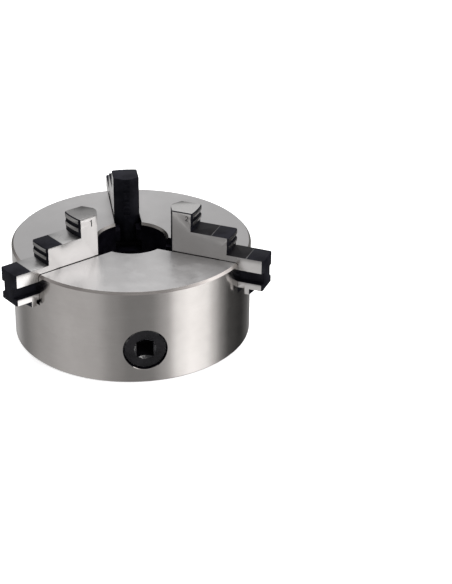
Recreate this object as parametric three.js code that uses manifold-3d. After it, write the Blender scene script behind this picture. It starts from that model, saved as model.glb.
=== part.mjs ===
// Three-jaw self-centring lathe chuck, 160 mm, with solid stepped jaws.
// Millimetres. The origin is on the spindle axis in the plane of the rear mounting face,
// and +Z points to the jaws. Radial pieces are made along +X and turned to their stations.

import * as THREE from 'three';
import { mergeVertices } from 'three/addons/utils/BufferGeometryUtils.js';
import Module from 'manifold-3d';

const wasm = await Module();
wasm.setup();

// ---------------------------------------------------------------- driving dimensions

const GAP = 0.3;                    // running clearance between neighbouring pieces
const ROUND_STEPS = 60;             // facets round a large turned piece
const BORE_STEPS = 24;              // facets round a pinion or its bore
const SCREW_STEPS = 12;             // facets round a screw or its hole

const BODY_RADIUS = 80;
const BODY_HEIGHT = 65;
const BORE_RADIUS = 23.2;
const EDGE_CHAMFER = 1.5;           // on the front rim and the mouth of the bore
const REAR_CHAMFER = 0.8;
const REGISTER_RADIUS = 65;         // rear recess that seats on the spindle flange
const REGISTER_DEPTH = 5;
const END_ROOM = 1;                 // free room past the end of a spigot or a screw

const HUB_RADIUS = 33;
const CAVITY_RADIUS = 61.5;         // room for the scroll plate behind the front wall
const CAVITY_CEILING = 47.5;
const COVER_THICKNESS = 4.5;
const COLLAR_INNER = 34;            // collar of the cover that carries the scroll plate
const COLLAR_OUTER = 40;

const JAW_STATIONS = [210, 330, 90].map(THREE.MathUtils.degToRad);
const PINION_STATIONS = [30, 150, 270].map(THREE.MathUtils.degToRad);

const JAW_HALF_WIDTH = 8.7;
const JAW_NECK_HALF_WIDTH = 5.2;    // between the two guide grooves
const JAW_NOSE_TIP = 28.2;          // where the two wedge faces would meet
const JAW_LAND_HALF_WIDTH = 1.7;    // narrow gripping land along the nose
const JAW_WEDGE_SLOPE = 1 / Math.tan(Math.PI / 3);    // 60 degrees each side, 120 in all
const JAW_LAND = JAW_NOSE_TIP + JAW_LAND_HALF_WIDTH * JAW_WEDGE_SLOPE;
const JAW_SHOULDER = JAW_NOSE_TIP + JAW_HALF_WIDTH * JAW_WEDGE_SLOPE;
const JAW_OUTER_END = 96.5;
const JAW_TOP = 94.2;
const JAW_STEPS = [                 // outward-gripping risers: radius and floor height
  { radius: 47.8, floor: 81.2 },
  { radius: 72.8, floor: 69.2 },
];
const SERRATION_GROOVES = [[0, 0.32], [0.52, 0.74]];  // shares of a riser's height
const SERRATION_DEPTH = 1;
const RISER_CUTTER_MARGIN = 1;      // how far the curved cutters stand past the jaw's sides
const CURVE_STEPS = 6;              // facets across a curved riser or tooth
const GROOVE_TOP = 60.2;            // guide groove along both sides of a jaw
const GROOVE_BOTTOM = 51.8;
const FLANGE_BOTTOM = 47.6;
const JAW_TOOTH_HEIGHT = 4;
const JAW_TOOTH_MARGIN = 2.4;       // from the middle of the first tooth to the full width
const JAW_END_MARGIN = 5;           // from the middle of the last tooth to the outer end

const SCROLL_PITCH = 8;
const SCROLL_RIB_WIDTH = 3.5;
const SCROLL_RIB_TOP = 47.2;
const SCROLL_FLOOR = 43.2;
const SCROLL_PHASE = 7.47;          // groove radius at azimuth 0, less whole pitches
const SCROLL_STEPS_PER_TURN = 48;
const SCROLL_HUB_FACE = 34;         // rear face of the ring that runs on the cover's collar
const SCROLL_RIB_INSET = 0.2;       // the rib stops this far inside the plate's edges
const SCROLL_RECESS_INNER = 43.5;   // conical recess that the bevel teeth stand in
const SCROLL_RECESS_OUTER = 57.6;

const PINION_HEIGHT = 23.6;         // height of the pinion axes above the rear face
const PINION_RADIUS = 13.8;
const PINION_FACE = 78.2;           // radial place of the pinion's outer end
const PINION_CHAMFER = 0.8;
const PINION_SHOULDER = 58.2;
const PINION_CORE = [[45.5, 6], [56.7, 7], [58.2, 10.35]];  // under the teeth: place and radius
const SPIGOT_RADIUS = 6;
const SPIGOT_END = 28.2;
const SOCKET_WIDTH = 11;
const SOCKET_DEPTH = 18;
const SOCKET_LEAD = 2;              // length of the tapered lead-in; half of it is inside

const SCROLL_GEAR_TEETH = 51;
const PINION_GEAR_TEETH = 10;
const GEAR_OUTER = 57;              // large ends of the bevel teeth
const GEAR_INNER = 44.5;
const PRESSURE_ANGLE = THREE.MathUtils.degToRad(25);
const GEAR_MODULE = (2 * GEAR_OUTER) / SCROLL_GEAR_TEETH;
const TOOTH_TIP = 0.8 * GEAR_MODULE;
const TOOTH_ROOT = 1.05 * GEAR_MODULE;
const TOOTH_OVERLAP = 0.5;          // how far a tooth runs into the piece that it stands on
const BACKLASH = 0.3;
const PINION_PITCH_RADIUS = (GEAR_OUTER * PINION_GEAR_TEETH) / SCROLL_GEAR_TEETH;

const RETAINER_STATION = 73.5;      // radial place of the pinion retaining screws
const RETAINER_RADIUS = 3;
const RETAINER_DOG_RADIUS = 2;
const RETAINER_GROOVE_WIDTH = 5;
const RETAINER_GROOVE_FLOOR = 11.9;
const RETAINER_BASE = 0.8;          // height of the screw's rear end
const RETAINER_SHOULDER = 8;        // height where the thread ends and the dog point starts
const RETAINER_HEX_DEPTH = 3;

const COVER_SCREW_COUNT = 6;
const COVER_SCREW_CIRCLE = 28.1;
const COVER_SCREW_RADIUS = 2.5;
const COVER_SCREW_HEAD = 4.6;
const COVER_SCREW_LENGTH = 16;
const COVER_SCREW_INSET = 0.2;      // how far the head sits below the cover's face
const COVER_SCREW_HEX_DEPTH = 2.2;
const HEX_SOCKET = 3;               // across the flats

const MOUNT_HOLE_CIRCLE = 71;       // rear tapped holes, one behind each jaw
const MOUNT_HOLE_RADIUS = 3.4;
const MOUNT_HOLE_DEPTH = 18;

const HUB_FACE = REGISTER_DEPTH + COVER_THICKNESS + GAP;
const BEYOND = 10;                  // how far a cutter runs past the surface it cuts
const MERGE_DISTANCE = 1e-4;

// ---------------------------------------------------------------- shape helpers

function toSolid(geometry) {
  const bare = geometry.clone();
  bare.deleteAttribute('normal');
  bare.deleteAttribute('uv');
  const merged = mergeVertices(bare, MERGE_DISTANCE);
  const corners = merged.index.array;
  const triVerts = [];
  for (let i = 0; i < corners.length; i += 3) {
    const [a, b, c] = [corners[i], corners[i + 1], corners[i + 2]];
    if (a !== b && b !== c && c !== a) triVerts.push(a, b, c);
  }
  return new wasm.Manifold(new wasm.Mesh({
    numProp: 3,
    vertProperties: new Float32Array(merged.attributes.position.array),
    triVerts: new Uint32Array(triVerts),
  }));
}

function toGeometry(solid) {
  const { vertProperties, triVerts } = solid.getMesh();
  const geometry = new THREE.BufferGeometry();
  geometry.setAttribute('position', new THREE.BufferAttribute(vertProperties, 3));
  geometry.setIndex(new THREE.BufferAttribute(triVerts, 1));
  geometry.computeVertexNormals();
  return geometry;
}

// Turned solid about Z from a closed outline of [radius, height] points.
function turned(outline, steps) {
  const points = [...outline, outline[0]].map(([radius, height]) => new THREE.Vector2(radius, height));
  return toSolid(new THREE.LatheGeometry(points, steps).rotateX(Math.PI / 2));
}

// Turned solid about the radial X axis, from [radial place, radius] points.
function turnedAlongX(outline, steps) {
  const points = [...outline, outline[0]].map(([place, radius]) => new THREE.Vector2(radius, place));
  return toSolid(new THREE.LatheGeometry(points, steps).rotateZ(-Math.PI / 2));
}

// Straight prism over a plan outline of [x, y] points, between two heights.
function prism(outline, low, high) {
  const shape = new THREE.Shape(outline.map(([x, y]) => new THREE.Vector2(x, y)));
  const geometry = new THREE.ExtrudeGeometry(shape, { depth: high - low, bevelEnabled: false });
  return toSolid(geometry.translate(0, 0, low));
}

function block(x0, x1, halfWidth, low, high) {
  return prism([[x0, -halfWidth], [x1, -halfWidth], [x1, halfWidth], [x0, halfWidth]], low, high);
}

// Round cutters are turned by half a facet, so that none of their edges lies in a facet edge
// of the turned piece that they cut.
function cylinder(radius, low, high, x) {
  const geometry = new THREE.CylinderGeometry(radius, radius, high - low, SCREW_STEPS);
  geometry.rotateY(Math.PI / SCREW_STEPS).rotateX(Math.PI / 2);
  return toSolid(geometry.translate(x, 0, (low + high) / 2));
}

function cylinderAlongX(radius, x0, x1) {
  const geometry = new THREE.CylinderGeometry(radius, radius, x1 - x0, BORE_STEPS);
  geometry.rotateY(Math.PI / BORE_STEPS).rotateZ(-Math.PI / 2);
  return toSolid(geometry.translate((x0 + x1) / 2, 0, 0));
}

function hexPrism(acrossFlats, low, high) {
  const radius = acrossFlats / Math.sqrt(3);
  const geometry = new THREE.CylinderGeometry(radius, radius, high - low, 6);
  return toSolid(geometry.rotateX(Math.PI / 2).translate(0, 0, (low + high) / 2));
}

function around(solid, angle) {
  return solid.rotate([0, 0, THREE.MathUtils.radToDeg(angle)]);
}

function cutAtStations(solid, cutter, stations) {
  return stations.reduce((rest, angle) => rest.subtract(around(cutter, angle)), solid);
}

function ringStations(count) {
  return Array.from({ length: count }, (_, i) => (2 * Math.PI * i) / count);
}

// ---------------------------------------------------------------- chuck body

// T-shaped guide slot: two tongues stand into the grooves of the jaw.
function jawSlot() {
  const side = JAW_HALF_WIDTH + GAP;
  const tongue = JAW_NECK_HALF_WIDTH + GAP;
  const reach = BODY_RADIUS + BEYOND;
  const upper = block(0, reach, side, GROOVE_TOP - GAP, BODY_HEIGHT + BEYOND);
  const neck = block(0, reach, tongue, GROOVE_BOTTOM, GROOVE_TOP);
  const lower = block(0, reach, side, SCROLL_FLOOR, GROOVE_BOTTOM + GAP);
  return upper.add(neck).add(lower);
}

function chuckBody() {
  const blank = turned([
    [BORE_RADIUS, HUB_FACE],
    [HUB_RADIUS, HUB_FACE],
    [HUB_RADIUS, CAVITY_CEILING],
    [CAVITY_RADIUS, CAVITY_CEILING],
    [CAVITY_RADIUS, HUB_FACE],
    [REGISTER_RADIUS, HUB_FACE],
    [REGISTER_RADIUS, 0],
    [BODY_RADIUS - REAR_CHAMFER, 0],
    [BODY_RADIUS, REAR_CHAMFER],
    [BODY_RADIUS, BODY_HEIGHT - EDGE_CHAMFER],
    [BODY_RADIUS - EDGE_CHAMFER, BODY_HEIGHT],
    [BORE_RADIUS + EDGE_CHAMFER, BODY_HEIGHT],
    [BORE_RADIUS, BODY_HEIGHT - EDGE_CHAMFER],
  ], ROUND_STEPS);

  const bore = cylinderAlongX(PINION_RADIUS + GAP, CAVITY_RADIUS - BEYOND, BODY_RADIUS + BEYOND);
  const spigotHole = cylinderAlongX(SPIGOT_RADIUS + GAP, SPIGOT_END - END_ROOM, HUB_RADIUS + BEYOND);
  const pinionHole = bore.add(spigotHole).translate([0, 0, PINION_HEIGHT]);
  const retainerHole = cylinder(RETAINER_RADIUS + GAP, -BEYOND, PINION_HEIGHT, RETAINER_STATION);
  const mountHole = cylinder(MOUNT_HOLE_RADIUS, -BEYOND, MOUNT_HOLE_DEPTH, MOUNT_HOLE_CIRCLE);
  const screwTop = REGISTER_DEPTH + COVER_SCREW_LENGTH + END_ROOM;
  const screwHole = cylinder(COVER_SCREW_RADIUS + GAP, 0, screwTop, COVER_SCREW_CIRCLE);

  let body = cutAtStations(blank, jawSlot(), JAW_STATIONS);
  body = cutAtStations(body, pinionHole.add(retainerHole), PINION_STATIONS);
  body = cutAtStations(body, mountHole, JAW_STATIONS);
  return cutAtStations(body, screwHole, ringStations(COVER_SCREW_COUNT));
}

// ---------------------------------------------------------------- back cover and screws

// A turned plate with a collar that carries the scroll plate from behind.
// The collar is notched where the pinions' inner spigots pass through it.
function backCover() {
  const low = REGISTER_DEPTH;
  const high = REGISTER_DEPTH + COVER_THICKNESS;
  const collarTop = SCROLL_HUB_FACE - GAP;
  const plate = turned([
    [BORE_RADIUS, low],
    [REGISTER_RADIUS - GAP, low],
    [REGISTER_RADIUS - GAP, high],
    [COLLAR_OUTER, high],
    [COLLAR_OUTER, collarTop],
    [COLLAR_INNER, collarTop],
    [COLLAR_INNER, high],
    [BORE_RADIUS, high],
  ], ROUND_STEPS);
  const notchBase = PINION_HEIGHT - SPIGOT_RADIUS - GAP;
  const notchTop = collarTop + BEYOND;
  const notch = block(HUB_RADIUS, COLLAR_OUTER + BEYOND, SPIGOT_RADIUS + GAP, notchBase, notchTop);
  const head = COVER_SCREW_HEAD + GAP;
  const shank = COVER_SCREW_RADIUS + GAP;
  const sink = turned([
    [0, low - BEYOND],
    [head, low - BEYOND],
    [head, low + GAP],
    [shank, low + GAP + head - shank],
    [shank, high + BEYOND],
    [0, high + BEYOND],
  ], SCREW_STEPS).rotate([0, 0, 180 / SCREW_STEPS]).translate([COVER_SCREW_CIRCLE, 0, 0]);
  const notched = cutAtStations(plate, notch, PINION_STATIONS);
  return cutAtStations(notched, sink, ringStations(COVER_SCREW_COUNT));
}

function coverScrew() {
  const base = REGISTER_DEPTH + COVER_SCREW_INSET;
  const cone = COVER_SCREW_HEAD - COVER_SCREW_RADIUS;
  const screw = turned([
    [0, base],
    [COVER_SCREW_HEAD, base],
    [COVER_SCREW_RADIUS, base + cone],
    [COVER_SCREW_RADIUS, REGISTER_DEPTH + COVER_SCREW_LENGTH],
    [0, REGISTER_DEPTH + COVER_SCREW_LENGTH],
  ], SCREW_STEPS);
  return screw.subtract(hexPrism(HEX_SOCKET, base - BEYOND, base + COVER_SCREW_HEX_DEPTH));
}

// Set screw from the rear whose dog point keeps the pinion in the body.
function retainingScrew() {
  const cone = RETAINER_RADIUS - RETAINER_DOG_RADIUS;
  const tip = PINION_HEIGHT - RETAINER_GROOVE_FLOOR - GAP;
  const screw = turned([
    [0, RETAINER_BASE],
    [RETAINER_RADIUS, RETAINER_BASE],
    [RETAINER_RADIUS, RETAINER_SHOULDER],
    [RETAINER_DOG_RADIUS, RETAINER_SHOULDER + cone],
    [RETAINER_DOG_RADIUS, tip],
    [0, tip],
  ], SCREW_STEPS);
  const hexFloor = RETAINER_BASE + RETAINER_HEX_DEPTH;
  return screw.subtract(hexPrism(HEX_SOCKET, RETAINER_BASE - BEYOND, hexFloor));
}

// ---------------------------------------------------------------- scroll plate

function grooveRadius(angle) {
  return SCROLL_PHASE + (SCROLL_PITCH * angle) / (2 * Math.PI);
}

// The flat spiral rib that drives the jaws, from one side of the plate to the other.
function scrollRib(inner, outer) {
  const angleAt = (radius) => ((radius - grooveRadius(0)) * 2 * Math.PI) / SCROLL_PITCH;
  const first = angleAt(inner - SCROLL_PITCH);
  const turns = (outer - inner) / SCROLL_PITCH + 2;
  const steps = Math.ceil(turns * SCROLL_STEPS_PER_TURN);
  const side = (offset) => Array.from({ length: steps + 1 }, (_, i) => {
    const angle = first + (2 * Math.PI * i) / SCROLL_STEPS_PER_TURN;
    const radius = grooveRadius(angle) + SCROLL_PITCH / 2 + offset;
    return [radius * Math.cos(angle), radius * Math.sin(angle)];
  });
  const outline = [...side(SCROLL_RIB_WIDTH / 2), ...side(-SCROLL_RIB_WIDTH / 2).reverse()];
  return prism(outline, SCROLL_FLOOR - TOOTH_OVERLAP, SCROLL_RIB_TOP);
}

function ringBetween(inner, outer, low, high) {
  return turned([[inner, low], [outer, low], [outer, high], [inner, high]], ROUND_STEPS);
}

// Bevel teeth from their section at the large end. They taper to an apex where the pinion
// axes cross the spindle axis.
function taperedToApex(shape) {
  const depth = GEAR_OUTER - GEAR_INNER;
  const geometry = new THREE.ExtrudeGeometry(shape, { depth, bevelEnabled: false });
  geometry.rotateX(Math.PI / 2).rotateZ(Math.PI / 2).translate(GEAR_INNER, 0, 0);
  const place = geometry.attributes.position;
  for (let i = 0; i < place.count; i += 1) {
    const scale = place.getX(i) / GEAR_OUTER;
    place.setXYZ(i, place.getX(i), place.getY(i) * scale, PINION_HEIGHT + place.getZ(i) * scale);
  }
  return toSolid(geometry);
}

function scrollTooth() {
  const slope = Math.tan(PRESSURE_ANGLE);
  const middle = (Math.PI * GEAR_MODULE) / 4 - BACKLASH / 2;
  const buried = TOOTH_ROOT + TOOTH_OVERLAP;
  const tip = middle - TOOTH_TIP * slope;
  const root = middle + buried * slope;
  const shape = new THREE.Shape([
    new THREE.Vector2(-tip, PINION_PITCH_RADIUS - TOOTH_TIP),
    new THREE.Vector2(tip, PINION_PITCH_RADIUS - TOOTH_TIP),
    new THREE.Vector2(root, PINION_PITCH_RADIUS + buried),
    new THREE.Vector2(-root, PINION_PITCH_RADIUS + buried),
  ]);
  return taperedToApex(shape);
}

function scrollPlate() {
  const inner = HUB_RADIUS + GAP;
  const outer = CAVITY_RADIUS - GAP;
  const rootSlope = (PINION_PITCH_RADIUS + TOOTH_ROOT) / GEAR_OUTER;
  const rimFace = PINION_HEIGHT + PINION_RADIUS + GAP;
  const plate = turned([
    [inner, SCROLL_HUB_FACE],
    [SCROLL_RECESS_INNER, SCROLL_HUB_FACE],
    [SCROLL_RECESS_INNER, PINION_HEIGHT + rootSlope * SCROLL_RECESS_INNER],
    [SCROLL_RECESS_OUTER, PINION_HEIGHT + rootSlope * SCROLL_RECESS_OUTER],
    [SCROLL_RECESS_OUTER, rimFace],
    [outer, rimFace],
    [outer, SCROLL_FLOOR],
    [inner, SCROLL_FLOOR],
  ], ROUND_STEPS);
  const ribZone = ringBetween(inner + SCROLL_RIB_INSET, outer - SCROLL_RIB_INSET, 0, BODY_HEIGHT);
  const rib = scrollRib(inner, outer).intersect(ribZone);
  const tooth = scrollTooth();
  return ringStations(SCROLL_GEAR_TEETH).reduce(
    (plateSoFar, angle) => plateSoFar.add(around(tooth, PINION_STATIONS[0] + angle)),
    plate.add(rib),
  );
}

// ---------------------------------------------------------------- pinions

// Outline of the pinion's teeth at their large ends, with a tooth space on the +Y side.
function pinionGearOutline() {
  const pitch = PINION_PITCH_RADIUS;
  const base = pitch * Math.cos(PRESSURE_ANGLE);
  const tip = pitch + TOOTH_TIP;
  const root = pitch - TOOTH_ROOT;
  const involute = (angle) => Math.tan(angle) - angle;
  const halfAtPitch = ((Math.PI * GEAR_MODULE) / 4 - BACKLASH / 2) / pitch;
  const halfAt = (radius) => {
    const pressure = Math.acos(Math.min(1, base / radius));
    return halfAtPitch + involute(PRESSURE_ANGLE) - involute(pressure);
  };
  const flank = [root, base, pitch, (pitch + tip) / 2, tip];
  const outline = [];
  for (let tooth = 0; tooth < PINION_GEAR_TEETH; tooth += 1) {
    const middle = Math.PI / 2 + (2 * Math.PI * (tooth + 0.5)) / PINION_GEAR_TEETH;
    const at = (radius, side) => {
      const angle = middle + side * halfAt(radius);
      return new THREE.Vector2(radius * Math.cos(angle), radius * Math.sin(angle));
    };
    outline.push(...flank.map((radius) => at(radius, -1)));
    outline.push(...[...flank].reverse().map((radius) => at(radius, 1)));
  }
  return outline;
}

// Made about the X axis; the assembly lifts it to the height of the pinion axes.
function pinion() {
  const gear = taperedToApex(new THREE.Shape(pinionGearOutline()));
  const grooveIn = RETAINER_STATION - RETAINER_GROOVE_WIDTH / 2;
  const grooveOut = RETAINER_STATION + RETAINER_GROOVE_WIDTH / 2;
  const shaft = turnedAlongX([
    [SPIGOT_END, 0],
    [SPIGOT_END, SPIGOT_RADIUS],
    ...PINION_CORE,
    [PINION_SHOULDER, PINION_RADIUS],
    [grooveIn, PINION_RADIUS],
    [grooveIn, RETAINER_GROOVE_FLOOR],
    [grooveOut, RETAINER_GROOVE_FLOOR],
    [grooveOut, PINION_RADIUS],
    [PINION_FACE - PINION_CHAMFER, PINION_RADIUS],
    [PINION_FACE, PINION_RADIUS - PINION_CHAMFER],
    [PINION_FACE, 0],
  ], BORE_STEPS);
  const half = SOCKET_WIDTH / 2;
  const socket = block(PINION_FACE - SOCKET_DEPTH, PINION_FACE + BEYOND, half, -half, half);
  const corner = SOCKET_WIDTH / Math.SQRT2;
  const lead = new THREE.CylinderGeometry(corner + SOCKET_LEAD, corner, SOCKET_LEAD, 4);
  lead.rotateY(Math.PI / 4).rotateZ(-Math.PI / 2).translate(PINION_FACE, 0, 0);
  const centredGear = gear.translate([0, 0, -PINION_HEIGHT]);
  return shaft.add(centredGear).subtract(socket).subtract(toSolid(lead));
}

// ---------------------------------------------------------------- jaws

// Everything outside a circle about the spindle axis, as wide as the jaw.
function beyondRadius(radius, low, high) {
  const half = JAW_HALF_WIDTH + RISER_CUTTER_MARGIN;
  const sweep = Math.asin(half / radius);
  const arc = Array.from({ length: CURVE_STEPS + 1 }, (_, i) => {
    const angle = sweep - (2 * sweep * i) / CURVE_STEPS;
    return [radius * Math.cos(angle), radius * Math.sin(angle)];
  });
  const far = JAW_OUTER_END + BEYOND;
  return prism([[far, -half], [far, half], ...arc], low, high);
}

function jawPlan() {
  const half = [
    [JAW_LAND, -JAW_LAND_HALF_WIDTH],
    [JAW_SHOULDER, -JAW_HALF_WIDTH],
    [JAW_OUTER_END, -JAW_HALF_WIDTH],
  ];
  const mirrored = half.map(([x, y]) => [x, -y]).reverse();
  return [...half, ...mirrored];
}

// A drive tooth is curved so that it fits the scroll groove at every radius:
// its outer face follows the tightest turn of the spiral, its inner face the widest.
function jawTooth(centre) {
  const rise = SCROLL_PITCH / (2 * Math.PI);
  const radii = [COLLAR_INNER, CAVITY_RADIUS];
  const half = (SCROLL_PITCH - SCROLL_RIB_WIDTH) / 2 - GAP;
  const shares = Array.from({ length: CURVE_STEPS + 1 }, (_, i) => (2 * i) / CURVE_STEPS - 1);
  const across = shares.map((share) => share * JAW_HALF_WIDTH);
  const bends = (y) => radii.map((radius) => (rise * y - (y * y) / 2) / radius);
  const inner = across.map((y) => [centre - half + Math.max(...bends(y)), y]);
  const outer = across.map((y) => [centre + half + Math.min(...bends(y)), y]);
  const outline = [...outer, ...inner.reverse()];
  return prism(outline, FLANGE_BOTTOM - JAW_TOOTH_HEIGHT, FLANGE_BOTTOM + TOOTH_OVERLAP);
}

function jaw(station) {
  let solid = prism(jawPlan(), FLANGE_BOTTOM, JAW_TOP);
  let top = JAW_TOP;
  for (const { radius, floor } of JAW_STEPS) {
    solid = solid.subtract(beyondRadius(radius, floor, JAW_TOP + BEYOND));
    for (const [from, to] of SERRATION_GROOVES) {
      const low = floor + from * (top - floor);
      const high = floor + to * (top - floor);
      solid = solid.subtract(beyondRadius(radius - SERRATION_DEPTH, low, high));
    }
    top = floor;
  }
  const depth = JAW_HALF_WIDTH - JAW_NECK_HALF_WIDTH;
  const groove = block(0, JAW_OUTER_END + BEYOND, depth, GROOVE_BOTTOM, GROOVE_TOP);
  solid = solid.subtract(groove.translate([0, JAW_HALF_WIDTH, 0]));
  solid = solid.subtract(groove.translate([0, -JAW_HALF_WIDTH, 0]));

  const first = JAW_SHOULDER + JAW_TOOTH_MARGIN;
  const last = JAW_OUTER_END - JAW_END_MARGIN;
  for (let centre = grooveRadius(station); centre < last; centre += SCROLL_PITCH) {
    if (centre > first) solid = solid.add(jawTooth(centre));
  }
  return solid;
}

// ---------------------------------------------------------------- assembly

const looks = {
  body: { color: 0xb4b2af, roughness: 0.3, metalness: 1 },
  cover: { color: 0x8d8b88, roughness: 0.5, metalness: 1 },
  scroll: { color: 0x77757a, roughness: 0.4, metalness: 1 },
  jaw: { color: 0x2b2a2c, roughness: 0.42, metalness: 1 },
  pinion: { color: 0x1f1e22, roughness: 0.38, metalness: 1 },
  screw: { color: 0x252427, roughness: 0.45, metalness: 1 },
};

function piece(name, solid, look) {
  const material = new THREE.MeshStandardMaterial({ ...looks[look], flatShading: true });
  const mesh = new THREE.Mesh(toGeometry(solid), material);
  mesh.name = name;
  return mesh;
}

function atStation(angle, ...meshes) {
  const station = new THREE.Group();
  station.rotation.z = angle;
  station.add(...meshes);
  return station;
}

const chuck = new THREE.Group();
chuck.add(piece('chuck_body', chuckBody(), 'body'));
chuck.add(piece('back_cover', backCover(), 'cover'));
chuck.add(piece('scroll_plate', scrollPlate(), 'scroll'));

JAW_STATIONS.forEach((angle, i) => {
  chuck.add(atStation(angle, piece(`jaw_${i + 1}`, jaw(angle), 'jaw')));
});

PINION_STATIONS.forEach((angle, i) => {
  const gear = piece(`pinion_${i + 1}`, pinion(), 'pinion');
  gear.position.z = PINION_HEIGHT;
  const retainer = piece(`pinion_retaining_screw_${i + 1}`, retainingScrew(), 'screw');
  retainer.position.x = RETAINER_STATION;
  chuck.add(atStation(angle, gear, retainer));
});

ringStations(COVER_SCREW_COUNT).forEach((angle, i) => {
  const screw = piece(`cover_screw_${i + 1}`, coverScrew(), 'screw');
  screw.position.x = COVER_SCREW_CIRCLE;
  chuck.add(atStation(angle, screw));
});

export default chuck;
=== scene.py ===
import math

import bmesh
import bpy
from mathutils import Matrix, Vector


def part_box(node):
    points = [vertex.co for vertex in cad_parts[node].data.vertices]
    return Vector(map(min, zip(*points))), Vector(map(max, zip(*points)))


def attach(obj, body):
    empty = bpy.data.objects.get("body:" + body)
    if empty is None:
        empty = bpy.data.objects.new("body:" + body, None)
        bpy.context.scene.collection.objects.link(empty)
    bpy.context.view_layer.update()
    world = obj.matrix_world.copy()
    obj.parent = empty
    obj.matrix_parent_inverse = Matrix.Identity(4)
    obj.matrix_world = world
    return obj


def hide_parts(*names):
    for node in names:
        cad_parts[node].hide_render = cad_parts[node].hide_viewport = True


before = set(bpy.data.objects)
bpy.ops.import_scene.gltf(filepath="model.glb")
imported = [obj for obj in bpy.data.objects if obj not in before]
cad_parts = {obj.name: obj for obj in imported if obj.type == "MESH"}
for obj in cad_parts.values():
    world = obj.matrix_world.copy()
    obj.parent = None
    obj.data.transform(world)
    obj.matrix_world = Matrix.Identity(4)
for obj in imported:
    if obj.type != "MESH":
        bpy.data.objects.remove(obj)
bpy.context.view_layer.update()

# A 160 mm three-jaw scroll chuck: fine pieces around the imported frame, in metres.
# Sizes come from the frame's nodes where it has them; the rest are named here.

MM = 0.001

BODY_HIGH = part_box("chuck_body")[1]
COVER_LOW, COVER_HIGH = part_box("back_cover")
SCROLL_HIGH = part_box("scroll_plate")[1]
JAW_LOW, JAW_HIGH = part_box("jaw_3")  # this jaw lies along +Y
PINION_LOW, PINION_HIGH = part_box("pinion_3")  # this pinion lies along -Y
RETAINER_LOW, RETAINER_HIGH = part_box("pinion_retaining_screw_3")
SCREW_LOW, SCREW_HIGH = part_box("cover_screw_1")  # this screw lies on +X

JAW_STATIONS = {"jaw_1": 210, "jaw_2": 330, "jaw_3": 90}
PINION_STATIONS = {"pinion_1": 30, "pinion_2": 150, "pinion_3": 270}
COVER_SCREW_STATIONS = {f"cover_screw_{i + 1}": 60 * i for i in range(6)}

GAP = 0.3 * MM
ROUND_STEPS = 360
SMALL_STEPS = 96
EDGE_OVERRUN = 0.5 * MM  # how far cutters run past what they cut
OVERRUN = 1 * MM
HOLE_OVERRUN = 3 * MM
LONG_OVERRUN = 5 * MM
MERGE_DISTANCE = 1e-7
FLAT_ANGLE = math.radians(0.05)
EDGE_ANGLE = math.radians(35)
SAME_PLANE = 0.1 * MM  # how near a face lies to the plane that it belongs to
SQUARE = 0.99  # the least share of a normal that faces along an axis

BODY_RADIUS = BODY_HIGH.x
BODY_HEIGHT = BODY_HIGH.z
BORE_RADIUS = 23.2 * MM
EDGE_CHAMFER = 1.5 * MM
REAR_CHAMFER = 0.8 * MM
BREAK = 0.3 * MM  # small broken edges
REGISTER_RADIUS = COVER_HIGH.x + GAP
REGISTER_DEPTH = COVER_LOW.z
HUB_FACE = 9.8 * MM
HUB_RADIUS = 33 * MM
COLLAR_INNER = HUB_RADIUS + 1 * MM  # the back cover's collar, round the hub
COLLAR_OUTER = COLLAR_INNER + 6 * MM
CAVITY_RADIUS = SCROLL_HIGH.x + GAP
CAVITY_CEILING = SCROLL_HIGH.z + GAP
MOUNT_HOLE_CIRCLE = 71 * MM
MOUNT_HOLE_RADIUS = 3.4 * MM
MOUNT_HOLE_DEPTH = 18 * MM
MOUNT_HOLE_SINK = 1.2 * MM
MOUNT_DRILL_POINT = 1.9 * MM
MOUNT_THREAD_PITCH = 1.25 * MM
MOUNT_THREAD_DEPTH = 0.55 * MM
MOUNT_THREAD_CREST = 0.95  # share of the pitch where a turn ends
MOUNT_THREAD_RUNOUT = 2 * MM

JAW_HALF_WIDTH = JAW_HIGH.x
JAW_NECK_HALF_WIDTH = 5.2 * MM
JAW_LAND_HALF_WIDTH = 1.7 * MM
JAW_END = JAW_HIGH.y
JAW_LAND = JAW_LOW.y
JAW_TOP = JAW_HIGH.z
JAW_RISERS = [(47.8 * MM, 81.2 * MM), (72.8 * MM, 69.2 * MM)]  # radius, floor height
FLOOR_MIDDLES = [(JAW_RISERS[0][0] + JAW_RISERS[1][0]) / 2, (JAW_RISERS[1][0] + JAW_END) / 2]
SERRATIONS = [(0, 0.32), (0.52, 0.74)]  # grooves, as shares of a riser's height
SERRATION_DEPTH = 1 * MM
GROOVE_TOP = 60.2 * MM
GROOVE_BOTTOM = 51.8 * MM
FLANGE_BOTTOM = 47.6 * MM
JAW_TOOTH_TIP = JAW_LOW.z
WEDGE_SLOPE = 1 / math.tan(math.radians(60))
JAW_SHOULDER = JAW_LAND - JAW_LAND_HALF_WIDTH * WEDGE_SLOPE + JAW_HALF_WIDTH * WEDGE_SLOPE
JAW_TOOTH_MARGIN = 2.4 * MM  # from the first tooth to the full width
JAW_END_MARGIN = 5 * MM  # from the last tooth to the outer end
RISER_STEPS = 24
CORNER_CHAMFER = 0.9 * MM  # blackened corners of the jaws' risers
TOP_CHAMFER = 0.6 * MM
JAW_BREAK = 0.15 * MM
FLOOR_LINE = 0.15 * MM  # half the width of the bright line on each floor
NOTCH_PITCH = 3.3 * MM  # shallow notches down the gripping land
NOTCH_DEPTH = 0.45 * MM
NOTCH_HALF_HEIGHT = 0.7 * MM
NOTCH_REACH = 4 * MM

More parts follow.
